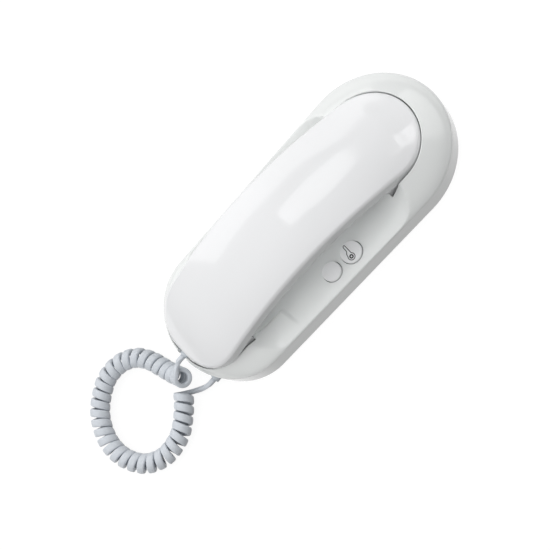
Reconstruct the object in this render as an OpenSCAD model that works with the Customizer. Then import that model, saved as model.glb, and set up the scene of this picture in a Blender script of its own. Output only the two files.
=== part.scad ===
// Wall intercom with a handset resting in a cradle base, lying on its back.
// Y runs along the long axis towards the ear end, Z comes out of the front face.

/* [Base] */
// length of the base along its long axis
base_length = 218; // [205:1:235]
// width of the base near the ear end
base_width_ear = 92.8; // [88:0.2:98]
// width of the base near the mouth end
base_width_mouth = 87.6; // [83:0.2:92]
// height of the cradle edge half way along the base
cradle_height = 27.6; // [26.2:0.2:30]
// height of the upright part of the side wall
wall_height = 16.4; // [15.6:0.2:16.8]
// height of the deck between the two cradle ends
deck_height = 18; // [17:0.5:19.5]
// radius of the rounded edge along the deck
deck_edge = 1.5; // [1.2:0.1:2]
// depth of the finger recess under the handset, below the edge of the deck
deck_dip = 2.4; // [1.8:0.2:2.8]
// thickness of the back plate
plate_thickness = 2.5; // [2:0.1:2.8]
// radius of the wall screw holes
wall_hole_r = 2.25; // [2:0.05:2.6]
// distance between the two wall screw holes
wall_hole_spacing = 160; // [150:1:166]
// radius of the cable entry in the back plate
cable_hole_r = 7; // [5:0.5:8]

/* [Handset] */
// width of the handset at the ear end
handset_width_ear = 58.8; // [56:0.2:61]
// width of the handset at the mouth end
handset_width_mouth = 57.8; // [54:0.2:59]
// narrowing of the mouth end on each side, from its crown down to the cradle
mouth_taper = 2.1; // [1:0.1:2.6]
// height of the crown's edge at the middle of the arch
arch_height = 53.4; // [50:0.2:56]
// drop of the arch 100 mm away from its middle
arch_drop = 33.7; // [31:0.1:35]
// rise of the crown above its edge
crown_rise = 5; // [4:0.5:6]
// height of the side wall at the middle
side_height = 10.3; // [9.5:0.1:11.5]
// wall thickness of the handset shells
shell_wall = 2.2; // [1.8:0.1:2.6]
// gap between the handset and the cradle
cradle_gap = 0.6; // [0.5:0.1:0.9]

/* [Buttons] */
// radius of the door button
door_button_r = 6.7; // [6:0.1:6.8]
// radius of the second button
second_button_r = 5.9; // [5:0.1:6]
// height of the button caps above the deck
button_proud = 0.4; // [0.2:0.1:1]
// gap round the button caps
button_gap = 0.3; // [0.25:0.05:0.4]

/* [Cord] */
// diameter of the cord
cord_d = 3.4; // [2.8:0.1:3.4]
// radius of the curls from the coil axis to the middle of the cord
curl_r = 4.6; // [4.2:0.1:4.6]
// number of curls
curls = 33; // [26:1:33]

/* [Hidden] */
$fn = 48;

// plan of the base: half widths, ends and centres of the two rounded ends
half_ear = base_width_ear / 2;
half_mouth = base_width_mouth / 2;
end_y = base_length / 2;
ear_reach = 49.6;
mouth_reach = 39;
ear_centre = end_y - ear_reach;
mouth_centre = -end_y + mouth_reach;
// plan of the handset
hand_ear = handset_width_ear / 2;
hand_mouth = handset_width_mouth / 2;
hand_foot = hand_mouth - mouth_taper;
hand_ear_y = end_y - 46.2;
hand_mouth_y = -end_y + 30.4;
hand_mouth_reach = 27.3;
hand_mouth_power = 2.4;
arch_y = -14.2;
// steps round each quarter and along each side of the plans
quarter = 10;
side = 8;
half_count = 2 * quarter + side;
count = 2 * half_count;
// heights of the pocket floors and of the parts above them
ear_floor = 16;
mouth_floor = 13;
rest_gap = 0.3;
ear_bottom = ear_floor + rest_gap;
mouth_bottom = mouth_floor + rest_gap;
ear_block_y = end_y - 61;
mouth_block_y = -end_y + 39.4;
floor_wall = 2.4;
deck_under = deck_height - deck_dip - 2.3;
// edge of the cradle, a plane that rises towards the ear end
edge_slope = 0.0378;
// board and switch heights
board_bottom = plate_thickness + 1.5;
board_top = board_bottom + 1.6;
switch_top = board_top + 3.6;
button_low = deck_under - 2;
button_flange = 1.5;
deck_half = (half_ear + half_mouth) / 2;
door_at = [deck_half - 12.1, 7.1];
second_at = [deck_half - 12.6, -9.1];
hook_at = [-14, ear_block_y + 6];
flange_low = board_top + 4;
cover_screw_x = half_mouth - 8.6;
cover_screw_y = mouth_centre;
cover_screw_at = [[0, end_y - 11], [cover_screw_x, cover_screw_y], [-cover_screw_x, cover_screw_y]];
board_left = 8.9 - deck_half;
board_right = deck_half - 5.7;
board_screw_at = [for (x = [board_left + 4, board_right - 4.2]) for (y = [-36, 62]) [x, y]];
wall_hole_at = [for (s = [-1, 1]) [0, 4 + s * wall_hole_spacing / 2]];
ear_at = [0, end_y - 36.6];
microphone_at = [0, -end_y + 21];
handset_screw_at = [[0, ear_block_y + 5], [0, mouth_block_y - 5.4]];
grommet_base = [20, -end_y + 2.5, 6];
grommet_hand = [0, -end_y + 1.5, mouth_bottom + shell_wall + 3.5];

// unit circle with flattened sides when the power is above two
function round_x(a, power) = sign(cos(a)) * pow(abs(cos(a)), 2 / power);
function round_y(a, power) = sign(sin(a)) * pow(abs(sin(a)), 2 / power);

// right half of a plan from the ear end to the mouth end
function half_plan(we, ye, re, wm, ym, rm, power) = concat(
  [for (i = [0 : quarter]) let (a = 90 - 90 * i / quarter) [we * cos(a), ye + re * sin(a)]],
  [for (i = [1 : side - 1]) [we + (wm - we) * i / side, ye + (ym - ye) * i / side]],
  [for (i = [0 : quarter]) let (a = -90 * i / quarter)
    [wm * round_x(a, power), ym + rm * round_y(a, power)]]);
// whole plan, clockwise from the ear end
function whole_plan(h) = concat(h, [for (i = [half_count - 1 : -1 : 1]) [-h[i][0], h[i][1]]]);
function base_plan(t) = whole_plan(half_plan(half_ear - t, ear_centre, ear_reach - t,
  half_mouth - t, mouth_centre, mouth_reach - t, 2));
function hand_plan(t) = whole_plan(half_plan(hand_ear - t, hand_ear_y, hand_ear - t,
  hand_mouth - t, hand_mouth_y, hand_mouth_reach - t, hand_mouth_power));
// plan of the handset where it enters the cradle
function foot_plan(t) = whole_plan(half_plan(hand_ear - t, hand_ear_y, hand_ear - t,
  hand_foot - t, hand_mouth_y, hand_mouth_reach - t, hand_mouth_power));

// height of the cradle edge at a place along the base
function edge_z(y) = cradle_height + edge_slope * y;
// larger of two values with a soft change between them
function soft_max(a, b, k) = (a + b + sqrt((a - b) * (a - b) + k * k)) / 2;
// edge of the handset's crown
function shoulder(y) = soft_max(arch_height - arch_drop * pow((y - arch_y) / 100, 2), edge_z(y) - 0.5, 3);
// underside of the handset's grip
function grip_low(y) = arch_height - arch_drop * pow((y - arch_y) / 100, 2) - side_height;

// faces that join ring k to ring k + 1 of a loft with n points in each ring
function ring_faces(k, n) = [for (i = [0 : n - 1]) let (j = (i + 1) % n)
  each [[k * n + i, (k + 1) * n + i, (k + 1) * n + j], [k * n + i, (k + 1) * n + j, k * n + j]]];
// faces that close the last ring with a strip between its two sides
function strip_faces(k, n) = [for (i = [0 : n / 2 - 1]) let (a = k * n + i, b = k * n + i + 1,
  c = k * n + (n - i - 1) % n, d = k * n + (n - i) % n)
  each (i == 0 ? [[a, c, b]] : i == n / 2 - 1 ? [[a, d, b]] : [[a, d, c], [a, c, b]])];

// base with an upright wall and a cone with a rounded foot up to the cradle edge, before the trough is cut
dome_steps = 7;
dome_power = 2.5;
cone_share = 0.674;
module base_dome() {
  outer = base_plan(0);
  inner = foot_plan(-cradle_gap);
  foot = [for (p = outer) [p[0], p[1], 0]];
  rings = [for (k = [0 : dome_steps]) let (a = 90 * k / dome_steps,
    f = 1 - pow(cos(a), 2 / dome_power), h = pow(sin(a), 2 / dome_power),
    rise = (1 - cone_share) * h + cone_share * f)
    for (i = [0 : count - 1]) let (p = outer[i] + (inner[i] - outer[i]) * f)
      [p[0], p[1], wall_height + (edge_z(p[1]) - wall_height) * rise]];
  faces = concat([[for (i = [0 : count - 1]) i]],
    [for (k = [0 : dome_steps]) each ring_faces(k, count)],
    [[for (i = [count - 1 : -1 : 0]) (dome_steps + 1) * count + i]]);
  polyhedron(points = concat(foot, rings), faces = [for (f = faces) [for (i = [len(f) - 1 : -1 : 0]) f[i]]]);
}

// trough over the deck: heights along the base, lowered towards the two outer edges
ramp_r = 22;
ramp_y = end_y - 73;
shelf_y = -end_y + 65;
lip_from = -end_y + 51;
lip_to = -end_y + 29;
function ease(v) = let (u = max(0, min(1, v))) u * u * (3 - 2 * u);
function trough_z(y) =
  y > ramp_y ? deck_height + ramp_r - sqrt(max(0.01, ramp_r * ramp_r - pow(y - ramp_y, 2))) :
  deck_height + (edge_z(lip_to) + 1.5 - deck_height) * ease((lip_from - y) / (lip_from - lip_to));
// share of the finger recess along the base, which ends in a step and in the ramp, and across it
function dip_along(y) = ease((y - shelf_y + 2) / 4) * (1 - ease((y - ramp_y) / (ramp_r - 2)));
function dip_across(d) = d <= 0 ? 0 : ease(d / 14);
function edge_drop(d) = d <= 0 ? 0 : deck_edge - sqrt(max(0, pow(deck_edge, 2) - pow(min(d, deck_edge), 2)));
trough_rows = concat([lip_to - 6], [for (i = [0 : 5]) lip_to + (lip_from - lip_to) * i / 5],
  [shelf_y - 8, shelf_y - 2, shelf_y, shelf_y + 2, 0, ramp_y],
  [for (i = [1 : 8]) ramp_y + (ramp_r - 0.3) * i / 8]);
module trough() {
  span = [-14, -deck_edge, -0.8 * deck_edge, -0.5 * deck_edge, 0, 4, 7, 10, 14];
  rows = len(trough_rows);
  cols = 2 * len(span);
  // distance of the deck's flat part from the outline
  flat = 0.9 * deck_edge;
  function share(y) = (y - mouth_centre) / (ear_centre - mouth_centre);
  function flat_at(y) = half_mouth + (half_ear - half_mouth) * share(y) - flat;
  function column(j, y) = j < len(span) ? span[j] - flat_at(y) : flat_at(y) - span[cols - 1 - j];
  function inset(j) = span[j < len(span) ? j : cols - 1 - j];
  function drop(j, y) = edge_drop(-inset(j)) + deck_dip * dip_across(inset(j)) * dip_along(y);
  low = [for (y = trough_rows) for (j = [0 : cols - 1]) [column(j, y), y, trough_z(y) - drop(j, y)]];
  high = [for (y = trough_rows) for (j = [0 : cols - 1]) [column(j, y), y, 70]];
  n = rows * cols;
  faces = concat(
    [for (r = [0 : rows - 2]) for (j = [0 : cols - 2]) let (a = r * cols + j)
      each [[a, a + cols, a + cols + 1], [a, a + cols + 1, a + 1],
        [n + a, n + a + 1, n + a + cols + 1], [n + a, n + a + cols + 1, n + a + cols]]],
    [for (r = [0 : rows - 2]) let (a = r * cols, b = r * cols + cols - 1)
      each [[a, n + a, n + a + cols], [a, n + a + cols, a + cols],
        [b, b + cols, n + b + cols], [b, n + b + cols, n + b]]],
    [for (j = [0 : cols - 2]) let (a = j, b = (rows - 1) * cols + j)
      each [[a, a + 1, n + a + 1], [a, n + a + 1, n + a], [b, n + b, n + b + 1], [b, n + b + 1, b + 1]]]);
  polyhedron(points = concat(low, high), faces = [for (f = faces) [f[2], f[1], f[0]]]);
}

// inside of the base at one height: plan drawn in by t, between two places along Y
module base_layer(t, low, high, from_y, to_y) {
  translate([0, 0, low])
    linear_extrude(height = high - low)
      intersection() {
        polygon(base_plan(t));
        translate([-100, from_y])
          square([200, to_y - from_y]);
      }
}

module pocket(floor_z, from_y, to_y) {
  translate([0, 0, floor_z])
    linear_extrude(height = 60)
      intersection() {
        polygon(foot_plan(-cradle_gap));
        translate([-100, from_y])
          square([200, to_y - from_y]);
      }
}

module base_cover() {
  color("white")
    difference() {
      base_dome();
      trough();
      pocket(ear_floor, ear_block_y - cradle_gap, 140);
      pocket(mouth_floor, -140, mouth_block_y + cradle_gap);
      difference() {
        union() {
          base_layer(2.5, -1, plate_thickness, -130, 130);
          base_layer(4, 0, mouth_floor - floor_wall, -130, 130);
          base_layer(4.4, 0, deck_under, mouth_block_y + 4, 130);
        }
        for (p = cover_screw_at)
          translate([p[0], p[1], plate_thickness])
            cylinder(r = 4, h = 30);
      }
      for (p = cover_screw_at)
        translate([p[0], p[1], -1])
          cylinder(r = 1.5, h = 11);
      // openings in the pocket floors that give access to the wall screws
      for (p = wall_hole_at)
        translate([p[0], p[1], 5])
          cylinder(r = 4.5, h = 30);
      translate([door_at[0], door_at[1], 5])
        cylinder(r = door_button_r + button_gap, h = 30);
      translate([second_at[0], second_at[1], 5])
        cylinder(r = second_button_r + button_gap, h = 30);
      translate([hook_at[0], hook_at[1], 5])
        cylinder(r = 3.3, h = 30);
      translate([grommet_base[0], grommet_base[1] + 10.5, grommet_base[2]])
        rotate([90, 0, 0])
          cylinder(r = 3, h = 20);
      // notch in the lower lip that lets the handset's cord pass
      translate([grommet_hand[0] - 4.2, -end_y - 11, grommet_hand[2] - 4.2])
        cube([8.4, 20, 40]);
    }
}

module back_plate() {
  color("gainsboro")
    difference() {
      union() {
        linear_extrude(height = plate_thickness)
          polygon(base_plan(2.75));
        for (p = board_screw_at)
          translate([p[0], p[1], 0])
            cylinder(r = 3.2, h = board_bottom);
      }
      for (p = wall_hole_at)
        translate([p[0], p[1], -1])
          cylinder(r = wall_hole_r, h = 10);
      translate([0, -54, -1])
        cylinder(r = cable_hole_r, h = 10);
      for (p = cover_screw_at) {
        translate([p[0], p[1], -1])
          cylinder(r = 1.8, h = 10);
        translate([p[0], p[1], -1])
          cylinder(r = 3.2, h = 2.6);
      }
      for (p = board_screw_at)
        translate([p[0], p[1], 0.8])
          cylinder(r = 1.2, h = 10);
    }
}

module cover_screws() {
  color("silver")
    for (p = cover_screw_at)
      translate([p[0], p[1], 0])
        difference() {
          union() {
            translate([0, 0, 0.2])
              cylinder(r = 2.9, h = 1.4);
            translate([0, 0, 1.5])
              cylinder(r = 1.45, h = 7.5);
          }
          for (a = [0, 90])
            rotate([0, 0, a])
              translate([-1.7, -0.3, -1])
                cube([3.4, 0.6, 2]);
        }
}

module circuit_board() {
  color("darkgreen")
    difference() {
      translate([board_left, -40, board_bottom])
        cube([board_right - board_left, 106, board_top - board_bottom]);
      for (p = board_screw_at)
        translate([p[0], p[1], 0])
          cylinder(r = 1.5, h = 20);
    }
}

module board_screws() {
  color("silver")
    for (p = board_screw_at)
      translate([p[0], p[1], 0])
        difference() {
          union() {
            translate([0, 0, board_top])
              cylinder(r = 2.3, h = 1.3);
            translate([0, 0, 1.2])
              cylinder(r = 1.15, h = board_top - 1.1);
          }
          translate([-1.6, -0.3, board_top + 0.7])
            cube([3.2, 0.6, 2]);
        }
}

module switch_body(at) {
  color("dimgray")
    difference() {
      translate([at[0] - 5, at[1] - 5, board_top])
        cube([10, 10, switch_top - board_top]);
      translate([at[0], at[1], board_top + 0.8])
        cylinder(r = 1.8, h = 20);
    }
}
module switch_stem(at) {
  color("black")
    translate([at[0], at[1], board_top + 2.1])
      cylinder(r = 1.7, h = button_low - board_top - 2.1);
}
module door_switch_body() {
  switch_body(door_at);
}
module second_switch_body() {
  switch_body(second_at);
}
module door_switch_stem() {
  switch_stem(door_at);
}
module second_switch_stem() {
  switch_stem(second_at);
}

// button cap with a flange below the deck; the flange stops short of the side wall
module button(at, r) {
  top = deck_height + button_proud;
  color("white")
    translate([at[0], at[1], 0]) {
      rotate_extrude()
        polygon([[0, button_low], [r, button_low], [r, top - 0.8], [r - 0.25, top - 0.25],
          [r - 0.8, top], [0, top + 0.2]]);
      intersection() {
        translate([0, 0, button_low])
          cylinder(r = r + 0.9, h = button_flange);
        translate([-20, -20, 0])
          cube([20 + r - 0.3, 40, 60]);
      }
    }
}
module door_button() {
  button(door_at, door_button_r);
}
module second_button() {
  button(second_at, second_button_r);
}

module hook_switch() {
  color("dimgray")
    difference() {
      translate([hook_at[0] - 8, hook_at[1] - 7, board_top])
        cube([16, 14, 3.4]);
      translate([hook_at[0], hook_at[1], board_top + 0.6])
        cylinder(r = 4.2, h = 20);
    }
}
module hook_plunger() {
  color("white")
    translate([hook_at[0], hook_at[1], 0]) {
      translate([0, 0, board_top + 1])
        cylinder(r = 1.6, h = flange_low - board_top - 0.5);
      translate([0, 0, flange_low])
        cylinder(r = 4.6, h = 0.8);
      translate([0, 0, flange_low + 0.4])
        cylinder(r = 3, h = ear_floor - flange_low - 0.4);
    }
}

// tube along a list of places, with a list of directions across it
function cross_unit(a, b) = let (c = cross(a, b)) c / norm(c);
function tube_points(path, side_dirs, r, n) = [for (i = [0 : len(path) - 1])
  let (t = path[min(i + 1, len(path) - 1)] - path[max(i - 1, 0)],
    v = cross_unit(t, side_dirs[i]), u = cross_unit(v, t))
  for (k = [0 : n - 1]) path[i] + r * (cos(360 * k / n) * u + sin(360 * k / n) * v)];
function tube_faces(m, n) = concat([[for (k = [0 : n - 1]) k]],
  [for (k = [0 : m - 2]) each ring_faces(k, n)], [[for (k = [n - 1 : -1 : 0]) (m - 1) * n + k]]);
module tube(path, side_dirs, r, n) {
  polyhedron(points = tube_points(path, side_dirs, r, n), faces = tube_faces(len(path), n));
}

spring_turns = 3;
module hook_spring() {
  low = board_top + 1.1;
  high = flange_low - 0.5;
  steps = 12 * spring_turns;
  path = [for (i = [0 : steps]) let (a = 30 * i)
    [hook_at[0] + 3 * cos(a), hook_at[1] + 3 * sin(a), low + (high - low) * i / steps]];
  dirs = [for (i = [0 : steps]) let (a = 30 * i) [cos(a), sin(a), 0]];
  color("silver")
    tube(path, dirs, 0.4, 6);
}

terminal_at = [-20, -24];
terminal_pitch = 5;
module terminal_block() {
  color("seagreen")
    difference() {
      translate([terminal_at[0] - 10.5, terminal_at[1] - 4.5, board_top])
        cube([21, 9, deck_under - board_top - 1]);
      for (i = [0 : 3])
        translate([terminal_at[0] + (i - 1.5) * terminal_pitch, terminal_at[1], 0]) {
          translate([0, 0, board_top + 3])
            cylinder(r = 1.9, h = 20);
          translate([0, 0, board_top + 1.8])
            rotate([90, 0, 0])
              cylinder(r = 1.3, h = 20);
        }
    }
}
module terminal_screws() {
  color("silver")
    for (i = [0 : 3])
      translate([terminal_at[0] + (i - 1.5) * terminal_pitch, terminal_at[1], board_top + 3])
        difference() {
          cylinder(r = 1.8, h = 3);
          translate([-2, -0.3, 2.2])
            cube([4, 0.6, 2]);
        }
}
sounder_height = deck_under - board_top - 1.2;
module call_sounder() {
  color("black")
    translate([-14, 8, board_top])
      difference() {
        cylinder(r = 11, h = sounder_height);
        translate([0, 0, sounder_height - 1.5])
          cylinder(r = 2, h = 5);
      }
}

module base_cord_grommet() {
  color("gray")
    translate([grommet_base[0], grommet_base[1], grommet_base[2]])
      rotate([-90, 0, 0]) {
        cylinder(r = 2.9, h = 11.4);
        translate([0, 0, 9.8])
          cylinder(r = 3.4, h = 1.6);
      }
}

// handset as a solid: sides that narrow towards the cradle, a small round along the crown's edge, and the
// crown as rings, each a share of the way from the spine to the plan; t draws every face inwards
edge_r = 1.3;
crown_q = [1, 0.987, 0.955, 0.86, 0.72, 0.54, 0.32, 0.12];
crown_rings = len(crown_q);
function crown_z(k) = k == 0 ? -edge_r : k == 1 ? -0.3 * edge_r :
  crown_rise * (1 - pow(crown_q[k] / crown_q[2], 2.2));
module hand_solid(t) {
  plan = hand_plan(t);
  foot = foot_plan(t);
  spine = [for (p = plan) [0, max(hand_mouth_y, min(hand_ear_y, p[1]))]];
  low = [for (p = foot) [p[0], p[1], 5]];
  waist = [for (p = foot) [p[0], p[1], shoulder(p[1]) - edge_r - 5 - t]];
  rings = [for (k = [0 : crown_rings - 1]) for (i = [0 : count - 1])
    let (p = spine[i] + (plan[i] - spine[i]) * crown_q[k]) [p[0], p[1], shoulder(p[1]) + crown_z(k) - t]];
  faces = concat([[for (i = [0 : count - 1]) i]],
    [for (k = [0 : crown_rings]) each ring_faces(k, count)],
    strip_faces(crown_rings + 1, count));
  polyhedron(points = concat(low, waist, rings),
    faces = [for (f = faces) [for (i = [len(f) - 1 : -1 : 0]) f[i]]]);
}

// outline of the underside seen from the side; t lifts it
grip_rows = 12;
grip_from = mouth_block_y + 9;
grip_to = ear_block_y - 8;
grip_places = [for (i = [0 : grip_rows]) grip_from + (grip_to - grip_from) * i / grip_rows];
function underside(t) = concat([[-130, mouth_bottom + t], [mouth_block_y - t, mouth_bottom + t],
  [mouth_block_y - t, mouth_bottom + t + 8], [mouth_block_y + 2 - t, 28 + t]],
  [for (y = grip_places) [y, grip_low(y) + t]],
  [[ear_block_y - 1.5 + t, 28 + t], [ear_block_y + t, ear_bottom + t + 8],
    [ear_block_y + t, ear_bottom + t], [130, ear_bottom + t]]);
module under_cut(t) {
  rotate([90, 0, 90])
    translate([0, 0, -60])
      linear_extrude(height = 120)
        polygon(concat(underside(t), [[130, 0], [-130, 0]]));
}
// parting between the two shells seen from the side
part_lift = 3.2;
function parting() = concat(
  [[-130, 20], [mouth_block_y - 4, 20], [mouth_block_y - 1, 24], [mouth_block_y + 2, 31]],
  [for (y = grip_places) [y, grip_low(y) + part_lift]],
  [[ear_block_y - 2, 31.5], [ear_block_y + 2, 27], [ear_block_y + 5, 24], [130, 24]]);
module below_parting(lift) {
  rotate([90, 0, 90])
    translate([0, 0, -60])
      linear_extrude(height = 120)
        polygon(concat([for (p = parting()) [p[0], p[1] + lift]], [[130, 0], [-130, 0]]));
}
module hand_cavity() {
  difference() {
    hand_solid(shell_wall);
    under_cut(shell_wall);
  }
}

// hole for the cord's grommet, half in each shell
module cord_hole() {
  translate([grommet_hand[0], grommet_hand[1] + 12.5, grommet_hand[2]])
    rotate([90, 0, 0])
      cylinder(r = 3, h = 20);
}

module handset_front_shell() {
  color("white")
    difference() {
      union() {
        difference() {
          hand_solid(0);
          hand_cavity();
          under_cut(0);
        }
        intersection() {
          for (p = handset_screw_at)
            translate([p[0], p[1], 10])
              cylinder(r = 3.6, h = 60);
          hand_solid(0.5);
        }
      }
      below_parting(0);
      for (p = handset_screw_at)
        translate([p[0], p[1], 0])
          cylinder(r = 1.3, h = 36);
      cord_hole();
    }
}

module handset_back_shell() {
  color("white")
    difference() {
      intersection() {
        union() {
          difference() {
            hand_solid(0);
            hand_cavity();
            under_cut(0);
          }
          difference() {
            union() {
              for (p = handset_screw_at)
                translate([p[0], p[1], 10])
                  cylinder(r = 3.6, h = 20);
              for (y = [-26, 6])
                translate([0, y, 36])
                  cylinder(r = 4, h = weight_low - 36);
            }
            under_cut(0);
          }
        }
        union() {
          below_parting(-0.1);
          for (y = [-26, 6])
            translate([0, y, 36])
              cylinder(r = 4, h = weight_low - 36);
        }
      }
      for (p = handset_screw_at)
        translate([p[0], p[1], 0]) {
          cylinder(r = 1.6, h = 40);
          cylinder(r = 3, h = p[1] > 0 ? ear_bottom + 2.2 : mouth_bottom + 2.2);
        }
      for (i = [0 : 6])
        translate([ear_at[0], ear_at[1], 10])
          rotate([0, 0, 60 * i])
            translate([i == 0 ? 0 : 7, 0, 0])
              cylinder(r = 1.4, h = 10);
      for (i = [-1 : 1])
        translate([microphone_at[0] + 2.6 * i, microphone_at[1], 10])
          cylinder(r = 0.8, h = 8);
      cord_hole();
    }
}

module handset_screws() {
  color("silver")
    for (p = handset_screw_at)
      translate([p[0], p[1], p[1] > 0 ? ear_bottom + 0.6 : mouth_bottom + 0.6])
        difference() {
          union() {
            cylinder(r = 2.8, h = 1.6);
            translate([0, 0, 1])
              cylinder(r = 1.25, h = 12);
          }
          for (a = [0, 90])
            rotate([0, 0, a])
              translate([-1.7, -0.3, -1])
                cube([3.4, 0.6, 1.9]);
        }
}

module earpiece_capsule() {
  color("dimgray")
    translate([ear_at[0], ear_at[1], ear_bottom + shell_wall + 1])
      difference() {
        union() {
          cylinder(r = 15, h = 4);
          cylinder(r = 8, h = 7.5);
        }
        translate([0, 0, -1])
          cylinder(r = 9.5, h = 1.6);
      }
}
module ear_gasket() {
  color("black")
    translate([ear_at[0], ear_at[1], ear_bottom + shell_wall])
      difference() {
        cylinder(r = 15, h = 1);
        translate([0, 0, -1])
          cylinder(r = 11.5, h = 4);
      }
}
module microphone_holder() {
  color("black")
    translate([microphone_at[0], microphone_at[1], mouth_bottom + shell_wall])
      difference() {
        cylinder(r = 7, h = 6);
        translate([0, 0, -1])
          cylinder(r = 4.9, h = 10);
      }
}
module microphone_capsule() {
  color("silver")
    translate([microphone_at[0], microphone_at[1], mouth_bottom + shell_wall])
      cylinder(r = 4.85, h = 6.5);
}
weight_low = grip_low(arch_y) + shell_wall + 2.2;
module handset_weight() {
  color("slategray")
    translate([-13, -36, weight_low])
      cube([26, 52, 4]);
}
module handset_cord_grommet() {
  color("gray")
    translate([grommet_hand[0], grommet_hand[1], grommet_hand[2]])
      rotate([-90, 0, 0]) {
        cylinder(r = 2.9, h = 9);
        translate([0, 0, 4.1])
          cylinder(r = 3.3, h = 1.6);
      }
}

// axis of the coil, as it lies beyond the mouth end, measured from that end
coil_z = curl_r + cord_d / 2 + 0.3;
coil_loop = [[8.6, -9, 16.5], [4.6, -10.9, 11.8], [-1, -13.4, 8.8], [-9, -16, 7.2], [-18.1, -18.8, coil_z],
  [-26.6, -24.2, coil_z], [-32, -34, coil_z], [-32.1, -45.8, coil_z], [-26.9, -56.3, coil_z],
  [-19.6, -64.7, coil_z], [-11.2, -69.8, coil_z], [-1.7, -72.7, coil_z], [8.9, -72.4, coil_z],
  [18.5, -68.8, coil_z], [25.9, -62.6, coil_z], [30.2, -53.3, coil_z], [30.2, -43.7, coil_z],
  [27.6, -35.2, coil_z], [22.4, -27.9, coil_z], [17.2, -22.2, coil_z], [11.6, -17.4, coil_z]];
coil_route = [for (p = coil_loop) [p[0], p[1] - end_y, p[2]]];
function curve(p, i, u) = let (n = len(p), a = p[max(i - 1, 0)], b = p[i],
  c = p[min(i + 1, n - 1)], d = p[min(i + 2, n - 1)])
  b + 0.5 * u * (c - a + u * (2 * a - 5 * b + 4 * c - d + u * (3 * (b - c) + d - a)));
fine = [for (i = [0 : len(coil_route) - 2]) for (k = [0 : 7]) curve(coil_route, i, k / 8)];
axis_line = concat(fine, [coil_route[len(coil_route) - 1]]);
function add_lengths(p, i, s) = i >= len(p) ? [] :
  concat([s], add_lengths(p, i + 1, i + 1 < len(p) ? s + norm(p[i + 1] - p[i]) : s));
axis_s = add_lengths(axis_line, 0, 0);
axis_length = axis_s[len(axis_s) - 1];
table_x = [for (i = [0 : len(axis_s) - 1]) [axis_s[i], axis_line[i][0]]];
table_y = [for (i = [0 : len(axis_s) - 1]) [axis_s[i], axis_line[i][1]]];
table_z = [for (i = [0 : len(axis_s) - 1]) [axis_s[i], axis_line[i][2]]];
function axis_at(s) = [lookup(s, table_x), lookup(s, table_y), lookup(s, table_z)];
curl_steps = 8 * curls - 4;
function axis_dir(s) = let (d = axis_at(min(s + 1, axis_length)) - axis_at(max(s - 1, 0))) d / norm(d);
function curl_out(s, a) = let (t = axis_dir(s), n = cross_unit([0, 0, 1], t), b = cross(t, n))
  cos(a) * n + sin(a) * b;
curl_dirs = [for (i = [0 : curl_steps]) curl_out(axis_length * i / curl_steps, 90 - 45 * i)];
curl_path = [for (i = [0 : curl_steps]) axis_at(axis_length * i / curl_steps) + curl_r * curl_dirs[i]];
// curve between two places with a direction at each
function bridge(a, da, b, db, u) = (2 * u * u * u - 3 * u * u + 1) * a + (u * u * u - 2 * u * u + u) * da
  + (3 * u * u - 2 * u * u * u) * b + (u * u * u - u * u) * db;
tail_steps = 8;
tail_out = cord_d * 1.1;
hand_tail = [grommet_hand[0], grommet_hand[1] - tail_out, grommet_hand[2]];
base_tail = [grommet_base[0], grommet_base[1] - tail_out, grommet_base[2]];
first_dir = curl_path[1] - curl_path[0];
last_dir = curl_path[curl_steps] - curl_path[curl_steps - 1];
hand_bridge = [for (i = [1 : tail_steps - 1])
  bridge(hand_tail, [0, -8, 0], curl_path[0], first_dir * 2.4, i / tail_steps)];
base_bridge = [for (i = [1 : tail_steps - 1])
  bridge(curl_path[curl_steps], last_dir * 3.4, base_tail, [0, 14, 0], i / tail_steps)];
cord_path = concat([grommet_hand, hand_tail], hand_bridge, curl_path, base_bridge, [base_tail, grommet_base]);
function blend_dir(a, b, u) = let (c = a * (1 - u) + b * u) c / norm(c);
cord_dirs = concat(
  [for (i = [0 : tail_steps]) blend_dir([1, 0, 0.3], curl_dirs[0], i / (tail_steps + 1))], curl_dirs,
  [for (i = [1 : tail_steps + 1]) blend_dir(curl_dirs[curl_steps], [1, 0, 0.2], i / (tail_steps + 1))]);
cord_s = add_lengths(cord_path, 0, 0);
cord_length = cord_s[len(cord_s) - 1];
// least distance of the cord's surface from itself, between places more than half a curl apart
cord_gap = min([for (i = [0 : len(cord_path) - 1]) for (j = [i + 5 : min(i + 40, len(cord_path) - 1)])
  norm(cord_path[i] - cord_path[j])]) - cord_d;
cord_end_gap = min([for (i = [0 : 40]) for (j = [len(cord_path) - 60 : len(cord_path) - 1])
  norm(cord_path[i] - cord_path[j])]) - cord_d;
cord_low = min([for (p = cord_path) p[2]]) - cord_d / 2;
module curly_cord() {
  echo(cord_length = cord_length, cord_gap = cord_gap, cord_end_gap = cord_end_gap);
  echo(cord_low = cord_low, coil_length = axis_length);
  color("lightsteelblue")
    tube(cord_path, cord_dirs, cord_d / 2, 6);
}

base_cover();
back_plate();
circuit_board();
door_switch_body();
second_switch_body();
door_switch_stem();
second_switch_stem();
hook_switch();
hook_plunger();
hook_spring();
terminal_block();
terminal_screws();
call_sounder();
board_screws();
cover_screws();
base_cord_grommet();
door_button();
second_button();
handset_front_shell();
handset_back_shell();
earpiece_capsule();
ear_gasket();
microphone_capsule();
microphone_holder();
handset_weight();
handset_screws();
handset_cord_grommet();
curly_cord();
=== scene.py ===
# %% [markdown]
# # A wall intercom with its handset in the cradle
# A wall intercom is a long base with a handset that rests in it, two buttons beside the grip and a curly
# cord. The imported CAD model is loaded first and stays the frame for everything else: each new piece is made
# in that frame, and either stands for a CAD node or rides on one of the moving bodies. Sizes are written in
# millimetres and become Blender's metres where a mesh is made.

# %% Load the frame
import math

import bmesh
import bpy
import numpy as np
from mathutils import Matrix, Vector


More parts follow.
